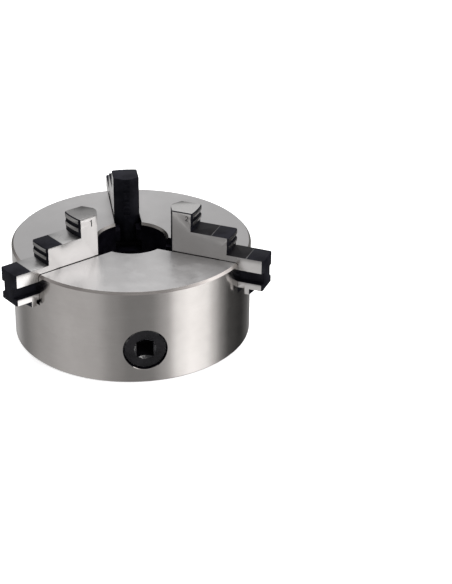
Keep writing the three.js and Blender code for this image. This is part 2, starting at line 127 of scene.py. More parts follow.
# A numeral's size is the width of its digit; it is cut to a depth into the jaw's side.
NUMERAL_BY_NOSE = (2.9 * MM, 0.25 * MM)
NUMERAL_BY_RISER = (1.9 * MM, 0.2 * MM)
NUMERAL_HEIGHT = 1.6  # in widths
NUMERAL_STROKE = 0.26  # in widths
NUMERAL_FROM_TOP = 2.4 * MM
NUMERAL_FROM_LAND = 8.5 * MM
NUMERAL_FROM_RISER = 4.5 * MM
MARK_DEPTHS = (0.28 * MM, 0.05 * MM)  # where the numerals' cut faces lie below the side,
MARK_HEIGHTS = (8 * MM, 1.8 * MM)  # below the jaw's top
MARK_MARGINS = (0.6 * MM, 2 * MM)  # and inside the shoulder and the first riser

SCROLL_PITCH = 8 * MM
SCROLL_RIB_WIDTH = 3.5 * MM
SCROLL_FLOOR = 43.2 * MM
SCROLL_PHASE = 7.47 * MM
SCROLL_STEPS = 120  # points in each turn of the spiral
SCROLL_TRIM = 0.2 * MM  # the spiral ends this far inside the plate's edges
SCROLL_HUB_FACE = 34 * MM

PINION_AXIS = (PINION_LOW.z + PINION_HIGH.z) / 2
PINION_RADIUS = PINION_HIGH.x
PINION_FACE = -PINION_LOW.y
PINION_SHOULDER = 58.2 * MM
SPIGOT_RADIUS = 6 * MM
SPIGOT_END = -PINION_HIGH.y
SOCKET_HALF = 5.5 * MM
SOCKET_DEPTH = 18 * MM
SOCKET_MOUTH = 1.3  # countersink's radius, over the socket's half width
PINION_CHAMFER = 0.8 * MM

SCROLL_TEETH = 51
PINION_TEETH = 10
GEAR_OUTER = 57 * MM
GEAR_INNER = 44.5 * MM
PRESSURE_ANGLE = math.radians(25)
GEAR_MODULE = 2 * GEAR_OUTER / SCROLL_TEETH
TOOTH_TIP = 0.8 * GEAR_MODULE
TOOTH_ROOT = 1.05 * GEAR_MODULE
PITCH_RADIUS = GEAR_OUTER * PINION_TEETH / SCROLL_TEETH
BACKLASH = 0.3 * MM
TOOTH_OVERLAP = 0.5 * MM  # how deep teeth are sunk into what carries them
FLANK_STEPS = 6

RETAINER_STATION = 73.5 * MM
RETAINER_RADIUS = RETAINER_HIGH.x
RETAINER_DOG_RADIUS = 2 * MM
RETAINER_GROOVE_HALF = 2.5 * MM
RETAINER_GROOVE_FLOOR = 11.9 * MM
RETAINER_HOLE_OVERRUN = 2 * MM
RETAINER_SHOULDER = 8 * MM
RETAINER_CHAMFER = 0.4 * MM
RETAINER_HEX_DEPTH = 3 * MM

COVER_SCREW_CIRCLE = (SCREW_LOW.x + SCREW_HIGH.x) / 2
COVER_SCREW_HEAD = (SCREW_HIGH.x - SCREW_LOW.x) / 2
COVER_SCREW_RADIUS = 2.5 * MM
COVER_SCREW_HEAD_LAND = 0.2 * MM
COVER_SCREW_PLAIN = 2 * MM
COVER_SCREW_POINT = 0.7 * MM
COVER_SCREW_HEX_DEPTH = 2.2 * MM
THREAD_PITCH = 0.8 * MM
THREAD_DEPTH = 0.45 * MM
THREAD_ROWS = 5  # rings of points in each turn of thread
HEX_SOCKET = 3 * MM


# ---------------------------------------------------------------- mesh helpers

def turns(steps, start=0.0):
    return [start + 2 * math.pi * i / steps for i in range(steps)]


def arc(radius, first, last, steps, centre=(0, 0)):
    """Points on a circle between two angles in degrees."""
    points = []
    for i in range(steps + 1):
        angle = math.radians(first + (last - first) * i / steps)
        points.append((centre[0] + radius * math.cos(angle), centre[1] + radius * math.sin(angle)))
    return points


def add_object(name, bm):
    bmesh.ops.recalc_face_normals(bm, faces=bm.faces)
    mesh = bpy.data.meshes.new(name)
    bm.to_mesh(mesh)
    bm.free()
    obj = bpy.data.objects.new(name, mesh)
    bpy.context.scene.collection.objects.link(obj)
    return obj


def skinned(name, loops, closed=False):
    """Solid through a stack of loops of points; a loop of one point is a tip."""
    bm = bmesh.new()
    rings = [[bm.verts.new(point) for point in loop] for loop in loops]
    count = max(len(ring) for ring in rings)
    pairs = list(zip(rings, rings[1:]))
    if closed:
        pairs.append((rings[-1], rings[0]))
    for low, high in pairs:
        for i in range(count):
            j = (i + 1) % count
            corners = [low[i % len(low)], low[j % len(low)], high[j % len(high)], high[i % len(high)]]
            corners = list(dict.fromkeys(corners))
            if len(corners) > 2:
                bm.faces.new(corners)
    if not closed:
        for ring in (rings[0], rings[-1]):
            if len(ring) > 2:
                bm.faces.new(ring)
    return add_object(name, bm)


def spun(name, outline, steps):
    """Solid of revolution about Z, from a closed outline of (radius, height) points."""
    loops = []
    for radius, height in outline:
        angles = turns(steps) if radius > 0 else [0.0]
        loops.append([(radius * math.cos(a), radius * math.sin(a), height) for a in angles])
    return skinned(name, loops, closed=True)


def prism(name, outline, low, high):
    return skinned(name, [[(x, y, z) for x, y in outline] for z in (low, high)])


def block(name, x_range, half_width, low, high):
    near, far = x_range
    corners = [(near, -half_width), (far, -half_width), (far, half_width), (near, half_width)]
    return prism(name, corners, low, high)


def move(obj, matrix):
    obj.data.transform(matrix)
    return obj


def about_z(degrees):
    return Matrix.Rotation(math.radians(degrees), 4, "Z")


def along_x(obj, height=0.0):
    """Turns a piece made about Z so that its axis is radial, +Z becoming +X."""
    return move(obj, Matrix.Translation((0, 0, height)) @ Matrix.Rotation(math.radians(90), 4, "Y"))


def settled(obj):
    """The object with its modifiers applied to its mesh."""
    bpy.context.view_layer.update()
    graph = bpy.context.evaluated_depsgraph_get()
    mesh = bpy.data.meshes.new_from_object(obj.evaluated_get(graph))
    old = obj.data
    obj.modifiers.clear()
    obj.data = mesh
    bpy.data.meshes.remove(old)
    mesh.name = obj.name
    return obj


def combined(obj, tools, operation):
    for tool in tools:
        step = obj.modifiers.new("combine", "BOOLEAN")
        step.object = tool
        step.operation = operation
        step.solver = "MANIFOLD"
    settled(obj)
    for tool in tools:
        bpy.data.objects.remove(tool)
    return obj


def cut(obj, *tools):
    return combined(obj, tools, "DIFFERENCE")


def joined(obj, *tools):
    return combined(obj, tools, "UNION")


def copies(tool, angles):
    """The tool at each angle about the spindle axis; the tool itself is used up."""
    made = []
    for angle in angles:
        twin = bpy.data.objects.new(tool.name, tool.data.copy())
        bpy.context.scene.collection.objects.link(twin)
        made.append(move(twin, about_z(angle)))
    bpy.data.objects.remove(tool)
    return made


def tidied(obj):
    """Merges the flat facets that cuts leave, so that bevels run clean."""
    bm = bmesh.new()
    bm.from_mesh(obj.data)
    bmesh.ops.remove_doubles(bm, verts=bm.verts, dist=MERGE_DISTANCE)
    bmesh.ops.dissolve_limit(bm, angle_limit=FLAT_ANGLE, verts=bm.verts, edges=bm.edges)
    bm.to_mesh(obj.data)
    bm.free()
    return obj


def softened(obj, width, material_index=-1, segments=2):
    bevel = obj.modifiers.new("edges", "BEVEL")
    bevel.width = width
    bevel.segments = segments
    bevel.limit_method = "ANGLE"
    bevel.angle_limit = EDGE_ANGLE
    bevel.material = material_index
    bevel.use_clamp_overlap = True
    return settled(obj)


def smoothed(obj, degrees=25):
    materials = obj.data.materials
    while materials[-1] is None:  # left by cutters that have no material
        materials.pop()
    obj.data.shade_smooth()
    obj.data.set_sharp_from_angle(angle=math.radians(degrees))
    return obj


def painted(obj, materials, rule):
    """Gives each face the material that rule(centre, normal) names."""
    names = list(materials)
    obj.data.materials.clear()
    for name in names:
        obj.data.materials.append(materials[name])
    for face in obj.data.polygons:
        face.material_index = names.index(rule(face.center, face.normal))
    return obj


# ---------------------------------------------------------------- material helpers

class Look:
    """A Principled material whose sockets are fed by short node chains."""

    def __init__(self, name, **fixed):
        self.material = bpy.data.materials.new(name)
        self.material.use_nodes = True
        self.tree = self.material.node_tree
        self.shader = self.tree.nodes["Principled BSDF"]
        for socket, value in fixed.items():
            self.shader.inputs[socket.replace("_", " ").title()].default_value = value
        self.place = self.add("TexCoord").outputs["Object"]

    def add(self, kind, inputs=None, **settings):
        node = self.tree.nodes.new("ShaderNode" + kind)
        for name, value in settings.items():
            setattr(node, name, value)
        for key, value in (inputs or {}).items():
            if isinstance(value, bpy.types.NodeSocket):
                self.tree.links.new(value, node.inputs[key])
            else:
                node.inputs[key].default_value = value
        return node

    def feed(self, socket, source):
        self.tree.links.new(source, self.shader.inputs[socket])

    def noise(self, place, scale, detail=2.0, roughness=0.5):
        stretched = self.add("Mapping", {"Vector": place, "Scale": scale}).outputs["Vector"]
        inputs = {"Vector": stretched, "Scale": 1.0, "Detail": detail, "Roughness": roughness}
        return self.add("TexNoise", inputs).outputs["Fac"]

    def ranged(self, value, low, high, to_low, to_high):
        inputs = {0: value, 1: low, 2: high, 3: to_low, 4: to_high}
        return self.add("MapRange", inputs, interpolation_type="SMOOTHSTEP").outputs[0]

    def math(self, operation, a, b=0.0):
        return self.add("Math", {0: a, 1: b}, operation=operation).outputs[0]

    def mixed(self, share, first, second):
        node = self.add("Mix", {"Factor": share}, data_type="RGBA")
        for key, value in ((6, first), (7, second)):
            if isinstance(value, bpy.types.NodeSocket):
                self.tree.links.new(value, node.inputs[key])
            else:
                node.inputs[key].default_value = (*value, 1.0)
        return node.outputs[2]

    def bump(self, height, depth, strength=1.0, onto=None):
        inputs = {"Height": height, "Distance": depth, "Strength": strength}
        if onto is not None:
            inputs["Normal"] = onto
        return self.add("Bump", inputs).outputs["Normal"]

    def polar(self):
        """A place whose X is the radius about the spindle axis and that varies little round it."""
        per_radian = 0.01
        flat = self.add("VectorMath", {0: self.place, 1: (1, 1, 0)}, operation="MULTIPLY").outputs[0]
        radius = self.add("VectorMath", {0: flat}, operation="LENGTH").outputs["Value"]
        parts = self.add("SeparateXYZ", {0: self.place})
        angle = self.math("ARCTAN2", parts.outputs[1], parts.outputs[0])
        inputs = {0: radius, 1: self.math("MULTIPLY", angle, per_radian), 2: parts.outputs[2]}
        return self.add("CombineXYZ", inputs).outputs[0]


def cut_steel(name, light, dark, roughness, grain_scale, grain_depth, round_grain=False, anisotropic=0.0):
    """Machined steel with fine parallel grain, faint handling marks and a thin oil film."""
    turn = 0.25 if anisotropic else 0.0
    look = Look(name, metallic=1.0, anisotropic=anisotropic, anisotropic_rotation=turn)
    where = look.polar() if round_grain else look.place
    grain = look.noise(where, grain_scale, 3.0, 0.65)
    cloud = look.noise(look.place, (38, 38, 38), 4.0, 0.6)
    smudge = look.noise(look.place, (120, 120, 120), 3.0, 0.7)
    blend = look.math("ADD", look.math("MULTIPLY", grain, 0.5), look.math("MULTIPLY", cloud, 0.5))
    shade = look.ranged(blend, 0.36, 0.64, 0.0, 1.0)
    look.feed("Base Color", look.mixed(shade, dark, light))
    film = look.math("ADD", look.ranged(smudge, 0.4, 0.7, -0.015, 0.025),
                     look.ranged(grain, 0.3, 0.7, -0.02, 0.02))
    look.feed("Roughness", look.math("ADD", film, roughness))
    look.feed("Normal", look.bump(grain, grain_depth))
    if anisotropic:
        look.feed("Tangent", look.add("Tangent", direction_type="RADIAL", axis="Z").outputs[0])
    return look.material


def oxide(name, colour, roughness, reflect=0.1, bright_wear=0.0):
    """Black-oxide steel: a dark satin skin over fine milling marks, thin at the edges."""
    look = Look(name)
    look.shader.inputs["Specular IOR Level"].default_value = reflect
    grain = look.noise(look.place, (900, 900, 2600), 3.0, 0.6)
    cloud = look.noise(look.place, (90, 90, 90), 4.0, 0.65)
    speck = look.noise(look.place, (1500, 1500, 1500), 2.0, 0.8)
    lighter = tuple(min(1.0, c * 1.9 + 0.002) for c in colour)
    skin = look.mixed(look.ranged(cloud, 0.35, 0.7, 0.0, 1.0), colour, lighter)
    if bright_wear:
        patchy = look.math("ADD", look.math("MULTIPLY", cloud, 0.6), look.math("MULTIPLY", speck, 0.4))
        worn = look.ranged(patchy, 0.52, 0.64, 0.0, bright_wear)
        skin = look.mixed(worn, skin, (0.42, 0.41, 0.4))
        look.feed("Metallic", worn)
    look.feed("Base Color", skin)
    look.feed("Roughness", look.math("ADD", look.ranged(cloud, 0.3, 0.75, -0.05, 0.08), roughness))
    look.feed("Normal", look.bump(look.math("ADD", grain, look.math("MULTIPLY", speck, 0.4)), 0.004 * MM))
    return look.material


# ---------------------------------------------------------------- materials

GRAIN_ROUND = (60, 60, 9000)  # streaks that run round the body
GRAIN_FACE = (9000, 60, 60)  # rings on a faced surface, by radius

STEEL_SIDE = cut_steel("body_side", (0.64, 0.61, 0.59), (0.58, 0.55, 0.53), 0.2,
                       GRAIN_ROUND, 0.0016 * MM, anisotropic=0.6)
STEEL_FACE = cut_steel("body_face", (0.49, 0.482, 0.483), (0.455, 0.447, 0.448), 0.34,
                       GRAIN_FACE, 0.0012 * MM, round_grain=True, anisotropic=0.4)
STEEL_CHAMFER = cut_steel("body_chamfer", (0.46, 0.43, 0.41), (0.34, 0.31, 0.3), 0.2,
                          GRAIN_ROUND, 0.002 * MM)
# Painted shade: the chamfer round the bore is the same turned steel as the rim's chamfer, made darker to
# stand in for the shade at the bore's mouth.
BORE_CHAMFER_PAINTED_SHADE = cut_steel("bore_chamfer_painted_shade", (0.23, 0.215, 0.205), (0.17, 0.158, 0.152), 0.26,
                         GRAIN_ROUND, 0.002 * MM)
STEEL_REAR = cut_steel("body_rear", (0.6, 0.59, 0.58), (0.46, 0.45, 0.44), 0.34,
                       (2600, 60, 60), 0.008 * MM, round_grain=True)
# Painted shade: the faces inside the body, in its bore, slots, holes and cavity, get a near-black skin that
# barely reflects, which stands in for the shade that falls there.
INSIDE_PAINTED_SHADE = oxide("body_inside_painted_shade", (0.003, 0.0026, 0.0045), 0.46, reflect=0.03)
JAW_GROUND = cut_steel("jaw_ground", (0.8, 0.78, 0.77), (0.74, 0.72, 0.705), 0.22,
                       (150, 150, 8000), 0.0012 * MM)
LAND_GROUND = cut_steel("jaw_land", (0.5, 0.49, 0.48), (0.4, 0.39, 0.385), 0.26,
                        (150, 150, 8000), 0.002 * MM)
TOP_GROUND = cut_steel("jaw_top", (0.64, 0.63, 0.625), (0.57, 0.56, 0.555), 0.22,
                       (4200, 700, 60), 0.0006 * MM)
# Painted shade: a darker copy of the ground top above, given to jaw 1's top in place of the shade that falls
# on it.
TOP_PAINTED_SHADE = cut_steel("jaw_top_painted_shade", (0.27, 0.265, 0.263), (0.225, 0.22, 0.219), 0.3,
                       (4200, 700, 60), 0.0006 * MM)
STEP_GROUND = cut_steel("jaw_step_ground", (0.445, 0.44, 0.437), (0.41, 0.405, 0.403), 0.3,
                        (700, 4200, 60), 0.0007 * MM)
STEP_BLACK = oxide("jaw_step_worn", (0.005, 0.0046, 0.0055), 0.34, reflect=0.05)
STEP_LINE = cut_steel("jaw_step_line", (0.22, 0.215, 0.215), (0.1, 0.098, 0.1), 0.34,
                      (700, 4200, 60), 0.002 * MM)
JAW_BLACK = oxide("jaw_black", (0.006, 0.006, 0.0085), 0.38, reflect=0.035)
MARK_BLACK = oxide("mark_black", (0.006, 0.006, 0.007), 0.6)
PINION_BLACK = oxide("pinion_black", (0.005, 0.0045, 0.006), 0.3, reflect=0.35)
PINION_EDGE = oxide("pinion_edge", (0.012, 0.012, 0.014), 0.22, reflect=0.5, bright_wear=0.9)
SCREW_BLACK = oxide("screw_black", (0.012, 0.012, 0.013), 0.36, reflect=0.4, bright_wear=0.25)
# Painted shade: the scroll is given a near-black steel colour that stands in for the shade inside the body
# around it.
SCROLL_PAINTED_SHADE = cut_steel("scroll_steel", (0.075, 0.072, 0.075), (0.04, 0.038, 0.04), 0.36,
                         (3000, 60, 60), 0.008 * MM, round_grain=True)
COVER_IRON = cut_steel("cover_iron", (0.44, 0.43, 0.42), (0.29, 0.285, 0.28), 0.42,
                       (1800, 60, 60), 0.015 * MM, round_grain=True)


# ---------------------------------------------------------------- chuck body

def jaw_slot():
    """T-shaped slot cutter: two tongues are left to stand into the grooves of the jaw."""
    side = JAW_HALF_WIDTH + GAP
    tongue = JAW_NECK_HALF_WIDTH + GAP
    top = BODY_HEIGHT + LONG_OVERRUN
    half = [
        (side, SCROLL_FLOOR), (side, GROOVE_BOTTOM + GAP), (tongue, GROOVE_BOTTOM + GAP),
        (tongue, GROOVE_TOP - GAP), (side, GROOVE_TOP - GAP), (side, BODY_HEIGHT - BREAK),
        (side + BREAK, BODY_HEIGHT), (side + BREAK, top),
    ]
    section = half + [(-y, z) for y, z in reversed(half)]
    reach = BODY_RADIUS + LONG_OVERRUN
    return skinned("slot", [[(x, y, z) for y, z in section] for x in (0, reach)])


def saddle_chamfer(radius, chamfer):
    """Cutter that breaks the edge of a radial bore evenly where it meets the round side."""
    inside, outside = 0.2 * MM, 0.4 * MM  # how far the cutter runs past the chamfer
    loops = []
    for spread, depth in ((-inside, -chamfer - inside), (chamfer + outside, outside)):
        loop = []
        for angle in turns(SMALL_STEPS):
            y = (radius + spread) * math.cos(angle)
            z = (radius + spread) * math.sin(angle)
            surface = math.sqrt(BODY_RADIUS ** 2 - y * y)
            loop.append((surface + depth, y, PINION_AXIS + z))
        loops.append(loop)
    inner = [(BODY_RADIUS - LONG_OVERRUN, 0, PINION_AXIS)]
    outer = [(BODY_RADIUS + HOLE_OVERRUN, 0, PINION_AXIS)]
    return skinned("chamfer", [inner, *loops, outer])


def radial_hole(radius, near, far):
    tool = spun("hole", [(0, near), (radius, near), (radius, far), (0, far)], SMALL_STEPS)
    return along_x(tool, PINION_AXIS)


def axial_hole(radius, low, high, x):
    tool = spun("hole", [(0, low), (radius, low), (radius, high), (0, high)], SMALL_STEPS // 2)
    return move(tool, Matrix.Translation((x, 0, 0)))


def tapped_hole(radius, depth, x):
    """Countersunk blind hole with a drill point and rings of thread."""
    pitch = MOUNT_THREAD_PITCH
    mouth = radius + MOUNT_HOLE_SINK
    outline = [(0, -HOLE_OVERRUN), (mouth, -HOLE_OVERRUN), (mouth, 0), (radius, MOUNT_HOLE_SINK)]
    for row in range(int((depth - MOUNT_THREAD_RUNOUT) / pitch)):
        base = MOUNT_HOLE_SINK + row * pitch
        outline.append((radius + MOUNT_THREAD_DEPTH, base + pitch / 2))
        outline.append((radius, base + pitch * MOUNT_THREAD_CREST))
    outline += [(radius, depth), (0, depth + MOUNT_DRILL_POINT)]
    return move(spun("tapped", outline, SMALL_STEPS // 2), Matrix.Translation((x, 0, 0)))


def chuck_body():
    body = spun("chuck_body_fine", [
        (BORE_RADIUS, HUB_FACE),
        (HUB_RADIUS, HUB_FACE),
        (HUB_RADIUS, CAVITY_CEILING),
        (CAVITY_RADIUS, CAVITY_CEILING),
        (CAVITY_RADIUS, HUB_FACE),
        (REGISTER_RADIUS, HUB_FACE),
        (REGISTER_RADIUS, BREAK),
        (REGISTER_RADIUS + BREAK, 0),
        (BODY_RADIUS - REAR_CHAMFER, 0),
        (BODY_RADIUS, REAR_CHAMFER),
        (BODY_RADIUS, BODY_HEIGHT - EDGE_CHAMFER),
        (BODY_RADIUS - EDGE_CHAMFER, BODY_HEIGHT),
        (BORE_RADIUS + EDGE_CHAMFER, BODY_HEIGHT),
        (BORE_RADIUS, BODY_HEIGHT - EDGE_CHAMFER),
    ], ROUND_STEPS)
    bore = PINION_RADIUS + GAP
    retainer_top = PINION_AXIS - RETAINER_GROOVE_FLOOR + RETAINER_HOLE_OVERRUN
    screw_top = SCREW_HIGH.z + OVERRUN
    slot = jaw_slot()
    pinion_bore = radial_hole(bore, CAVITY_RADIUS - HOLE_OVERRUN, BODY_RADIUS + LONG_OVERRUN)
    spigot_hole = radial_hole(SPIGOT_RADIUS + GAP, SPIGOT_END - OVERRUN, HUB_RADIUS + LONG_OVERRUN)
    retainer_hole = axial_hole(RETAINER_RADIUS + GAP, -HOLE_OVERRUN, retainer_top, RETAINER_STATION)
    mount_hole = tapped_hole(MOUNT_HOLE_RADIUS, MOUNT_HOLE_DEPTH, MOUNT_HOLE_CIRCLE)
    screw_hole = axial_hole(COVER_SCREW_RADIUS + GAP, HUB_FACE - HOLE_OVERRUN, screw_top, COVER_SCREW_CIRCLE)
    for tool, stations in (
        (slot, JAW_STATIONS),
        (pinion_bore, PINION_STATIONS),
        (saddle_chamfer(bore, BREAK), PINION_STATIONS),
        (spigot_hole, PINION_STATIONS),
        (retainer_hole, PINION_STATIONS),
        (mount_hole, JAW_STATIONS),
        (screw_hole, COVER_SCREW_STATIONS),
    ):
        cut(body, *copies(tool, stations.values()))
    tidied(body)
    edge_zone = 2 * MM

    def rule(centre, normal):
        radius = math.hypot(centre.x, centre.y)
        if normal.z > SQUARE and centre.z > BODY_HEIGHT - SAME_PLANE:
            return "face"
        if normal.z < -SQUARE and centre.z < SAME_PLANE:
            return "rear"
        outward = (normal.x * centre.x + normal.y * centre.y) / radius
        if radius > BODY_RADIUS - 2 * SAME_PLANE and outward > SQUARE:
            return "side"
        turned_edge = abs(outward) > 0.6 and 0.6 < abs(normal.z) < 0.8
        if turned_edge and radius > BODY_RADIUS - edge_zone:
            return "chamfer"
        # A chamfer by the bore takes the darker copy, as painted shade.
        if turned_edge and radius < BORE_RADIUS + edge_zone:
            return "bore_chamfer_painted_shade"
        # Every other face lies inside the body and takes the painted shade.
        return "inside"

    painted(body, {"side": STEEL_SIDE, "face": STEEL_FACE, "chamfer": STEEL_CHAMFER,
                   "bore_chamfer_painted_shade": BORE_CHAMFER_PAINTED_SHADE, "rear": STEEL_REAR, "inside": INSIDE_PAINTED_SHADE}, rule)
    return smoothed(body)


# ---------------------------------------------------------------- jaws

def beyond_radius(radius, low, high):
    """Everything outside a circle about the spindle axis, as wide as the jaw."""
    half = JAW_HALF_WIDTH + OVERRUN
    sweep = math.degrees(math.asin(half / radius))
    far = JAW_END + LONG_OVERRUN
    outline = [(far, -half), (far, half), *arc(radius, sweep, -sweep, RISER_STEPS)]
    return prism("riser", outline, low, high)


def groove_radius(degrees):
    return SCROLL_PHASE + SCROLL_PITCH * degrees / 360


def jaw_tooth(centre):
    """A drive tooth bent to fit the scroll's tightest turn outside and its widest turn inside."""
    rise = SCROLL_PITCH / (2 * math.pi)
    radii = (COLLAR_INNER, CAVITY_RADIUS)
    half = (SCROLL_PITCH - SCROLL_RIB_WIDTH) / 2 - GAP
    steps = 12
    across = [JAW_HALF_WIDTH * (2 * i / steps - 1) for i in range(steps + 1)]

    def bends(y):
        return [(rise * y - y * y / 2) / radius for radius in radii]

    outer = [(centre + half + min(bends(y)), y) for y in across]
    inner = [(centre - half + max(bends(y)), y) for y in reversed(across)]
    return prism("tooth", outer + inner, JAW_TOOTH_TIP, FLANGE_BOTTOM + TOOTH_OVERLAP)


def stroke(path, width):
    """Closed outline of a pen stroke of even width along a path of points."""
    left, right = [], []
    for i, point in enumerate(path):
        before = Vector(path[max(i - 1, 0)])
        after = Vector(path[min(i + 1, len(path) - 1)])
        along = (after - before).normalized()
        side = Vector((-along.y, along.x)) * width / 2
        left.append(Vector(point) + side)
        right.append(Vector(point) - side)
    return [tuple(p) for p in left + right[::-1]]


NUMERAL_STROKES = {
    1: [[(0.1, 1.2), (0.5, 1.6), (0.5, 0.8), (0.5, 0)]],
    2: [arc(0.45, 165, -35, 10, (0.5, 1.15)) + [(0.06, 0.04)], [(0, 0), (0.5, 0), (1, 0)]],
    3: [arc(0.4, 155, -85, 10, (0.45, 1.2)), arc(0.43, 90, -150, 10, (0.45, 0.4))],
}


def numeral_cutters(number, side):
    """Engraving cutters for a jaw's number: near the nose on one side, near the riser on the other."""
    size, depth = NUMERAL_BY_NOSE if side > 0 else NUMERAL_BY_RISER
    middle = JAW_LAND + NUMERAL_FROM_LAND if side > 0 else JAW_RISERS[0][0] - NUMERAL_FROM_RISER
    base = JAW_TOP - NUMERAL_FROM_TOP - NUMERAL_HEIGHT * size
    tools = []
    for path in NUMERAL_STROKES[number]:
        outline = stroke(path, NUMERAL_STROKE)
        loops = []
        for y in (JAW_HALF_WIDTH - depth, JAW_HALF_WIDTH + OVERRUN):
            loops.append([(middle - side * (u - 0.5) * size, side * y, base + v * size) for u, v in outline])
        tools.append(skinned("numeral", loops))
    return tools


def corner_cutters(x, size, low, high):
    """Cutters that chamfer both upright outer corners of a jaw at one place along it."""
    over = OVERRUN
    tools = []
    for side in (-1, 1):
        y = JAW_HALF_WIDTH
        outline = [(x - size - over, y + over), (x + over, y - size - over), (x + 3 * over, y + over)]
        tools.append(prism("corner", [(px, side * py) for px, py in outline], low, high))
    return tools


def riser_edge_cutter(radius, top, size):
    """Ring that chamfers the upper edge of a curved riser."""
    over = EDGE_OVERRUN
    outline = [(radius - size - over, top + over), (radius + over, top - size - over),
               (radius + over, top + over)]
    return spun("riser_edge", outline, ROUND_STEPS)


def long_edge_cutters(size):
    """Cutters that chamfer the two long upper edges beside the gripping nose."""
    over = EDGE_OVERRUN
    ends = (0, JAW_RISERS[0][0])
    tools = []
    for side in (-1, 1):
        y, z = JAW_HALF_WIDTH, JAW_TOP
        section = [(y - size - over, z + over), (y + over, z - size - over), (y + over, z + over)]
        tools.append(skinned("edge", [[(x, side * py, pz) for py, pz in section] for x in ends]))
    return tools


def notch_cutters():
    """Shallow vee notches across the gripping land, from near its top to the chuck's face."""
    outside = JAW_LAND - EDGE_OVERRUN
    spread = NOTCH_HALF_HEIGHT * (1 + EDGE_OVERRUN / NOTCH_DEPTH)
    tools = []
    height = JAW_TOP - NOTCH_PITCH
    while height > BODY_HEIGHT + NOTCH_PITCH / 2:
        section = [(outside, height - spread), (JAW_LAND + NOTCH_DEPTH, height), (outside, height + spread)]
        tools.append(skinned("notch", [[(x, y, z) for x, z in section] for y in (-NOTCH_REACH, NOTCH_REACH)]))
        height -= NOTCH_PITCH
    return tools


def jaw_blank(name):
    """The jaw's plan, with its wedge nose and gripping land, over its whole height."""
    half = [(JAW_LAND, -JAW_LAND_HALF_WIDTH), (JAW_SHOULDER, -JAW_HALF_WIDTH), (JAW_END, -JAW_HALF_WIDTH)]
    plan = half + [(x, -y) for x, y in reversed(half)]
    return prism(f"{name}_fine", plan, FLANGE_BOTTOM, JAW_TOP)


def cut_steps(piece):
    """Cuts the steps, the grooves in their risers and the chamfers along the risers' edges."""
    top = JAW_TOP
    beyond_top = JAW_TOP + LONG_OVERRUN
    for radius, floor in JAW_RISERS:
        cut(piece, beyond_radius(radius, floor, beyond_top))
        for start, end in SERRATIONS:
            low, high = (floor + share * (top - floor) for share in (start, end))
            cut(piece, beyond_radius(radius - SERRATION_DEPTH, low, high))
        corner = math.sqrt(radius ** 2 - JAW_HALF_WIDTH ** 2)
        cut(piece, *corner_cutters(corner, CORNER_CHAMFER, floor, beyond_top))
        cut(piece, riser_edge_cutter(radius, top, TOP_CHAMFER))
        top = floor
    cut(piece, *corner_cutters(JAW_END, CORNER_CHAMFER, 0, beyond_top))


def cut_guide_grooves(piece):
    for side in (-1, 1):
        groove = block("groove", (0, JAW_END + LONG_OVERRUN), JAW_HALF_WIDTH - JAW_NECK_HALF_WIDTH,
                       GROOVE_BOTTOM, GROOVE_TOP)
        cut(piece, move(groove, Matrix.Translation((0, side * JAW_HALF_WIDTH, 0))))


def add_drive_teeth(piece, station):
    """Adds a tooth for each turn of the scroll's groove that passes under the jaw."""
    centre = groove_radius(station)
    while centre < JAW_END - JAW_END_MARGIN:
        if centre > JAW_SHOULDER + JAW_TOOTH_MARGIN:
            joined(piece, jaw_tooth(centre))
        centre += SCROLL_PITCH


def split_floors(piece):
    """Splits the faces at both sides of each floor's line, so that it can be painted."""
    bm = bmesh.new()
    bm.from_mesh(piece.data)
    for x in [middle + side * FLOOR_LINE for middle in FLOOR_MIDDLES for side in (-1, 1)]:
        everything = bm.verts[:] + bm.edges[:] + bm.faces[:]
        bmesh.ops.bisect_plane(bm, geom=everything, plane_co=(x, 0, 0), plane_no=(1, 0, 0))
    bm.to_mesh(piece.data)
    bm.free()


def paint_jaw(piece, number):
    """Ground sides and lands on black oxide; jaw 1 is also ground along its inner floors."""

    def rule(centre, normal):
        radius = math.hypot(centre.x, centre.y)
        if abs(normal.y) > SQUARE and abs(centre.y) > JAW_HALF_WIDTH - SAME_PLANE / 2:
            return "black" if GROOVE_BOTTOM < centre.z < GROOVE_TOP else "ground"
        if normal.z > SQUARE:
            if centre.z > JAW_TOP - SAME_PLANE:
                return "black" if number == 3 else "top"
            for (riser, floor), middle in zip(JAW_RISERS, FLOOR_MIDDLES):
                on_floor = abs(centre.z - floor) < SAME_PLANE
                if on_floor and abs(centre.x - middle) < FLOOR_LINE:
                    return "line"
                if on_floor and riser - SERRATION_DEPTH < radius < middle:
                    return "step"
        if normal.x > 0.9 and abs(normal.z) < 0.1 and centre.z > GROOVE_TOP:
            if any(abs(radius - riser) < SAME_PLANE for riser, floor in JAW_RISERS):
                return "land"
        return "black"

    painted(piece, {
        "black": JAW_BLACK,
        "ground": JAW_GROUND,
        # Jaw 1's top takes the darker copy of the ground top: painted shade.
        "top": TOP_PAINTED_SHADE if number == 1 else TOP_GROUND,
        "step": STEP_GROUND if number == 1 else STEP_BLACK,
        "line": STEP_LINE,
        "land": LAND_GROUND,
        "mark": MARK_BLACK,
    }, rule)


def engrave(piece, number):
    """Cuts the jaw's number into both sides and blackens the cut."""
    cut(piece, *[tool for side in (-1, 1) for tool in numeral_cutters(number, side)])
    mark = list(piece.data.materials).index(MARK_BLACK)
    inner, outer = JAW_SHOULDER + MARK_MARGINS[0], JAW_RISERS[0][0] - MARK_MARGINS[1]
    for face in piece.data.polygons:
        x, y, z = face.center
        sunk = MARK_DEPTHS[0] > JAW_HALF_WIDTH - abs(y) > MARK_DEPTHS[1]
        below_top = MARK_HEIGHTS[0] > JAW_TOP - z > MARK_HEIGHTS[1]
        if sunk and below_top and inner < x < outer:
            face.material_index = mark


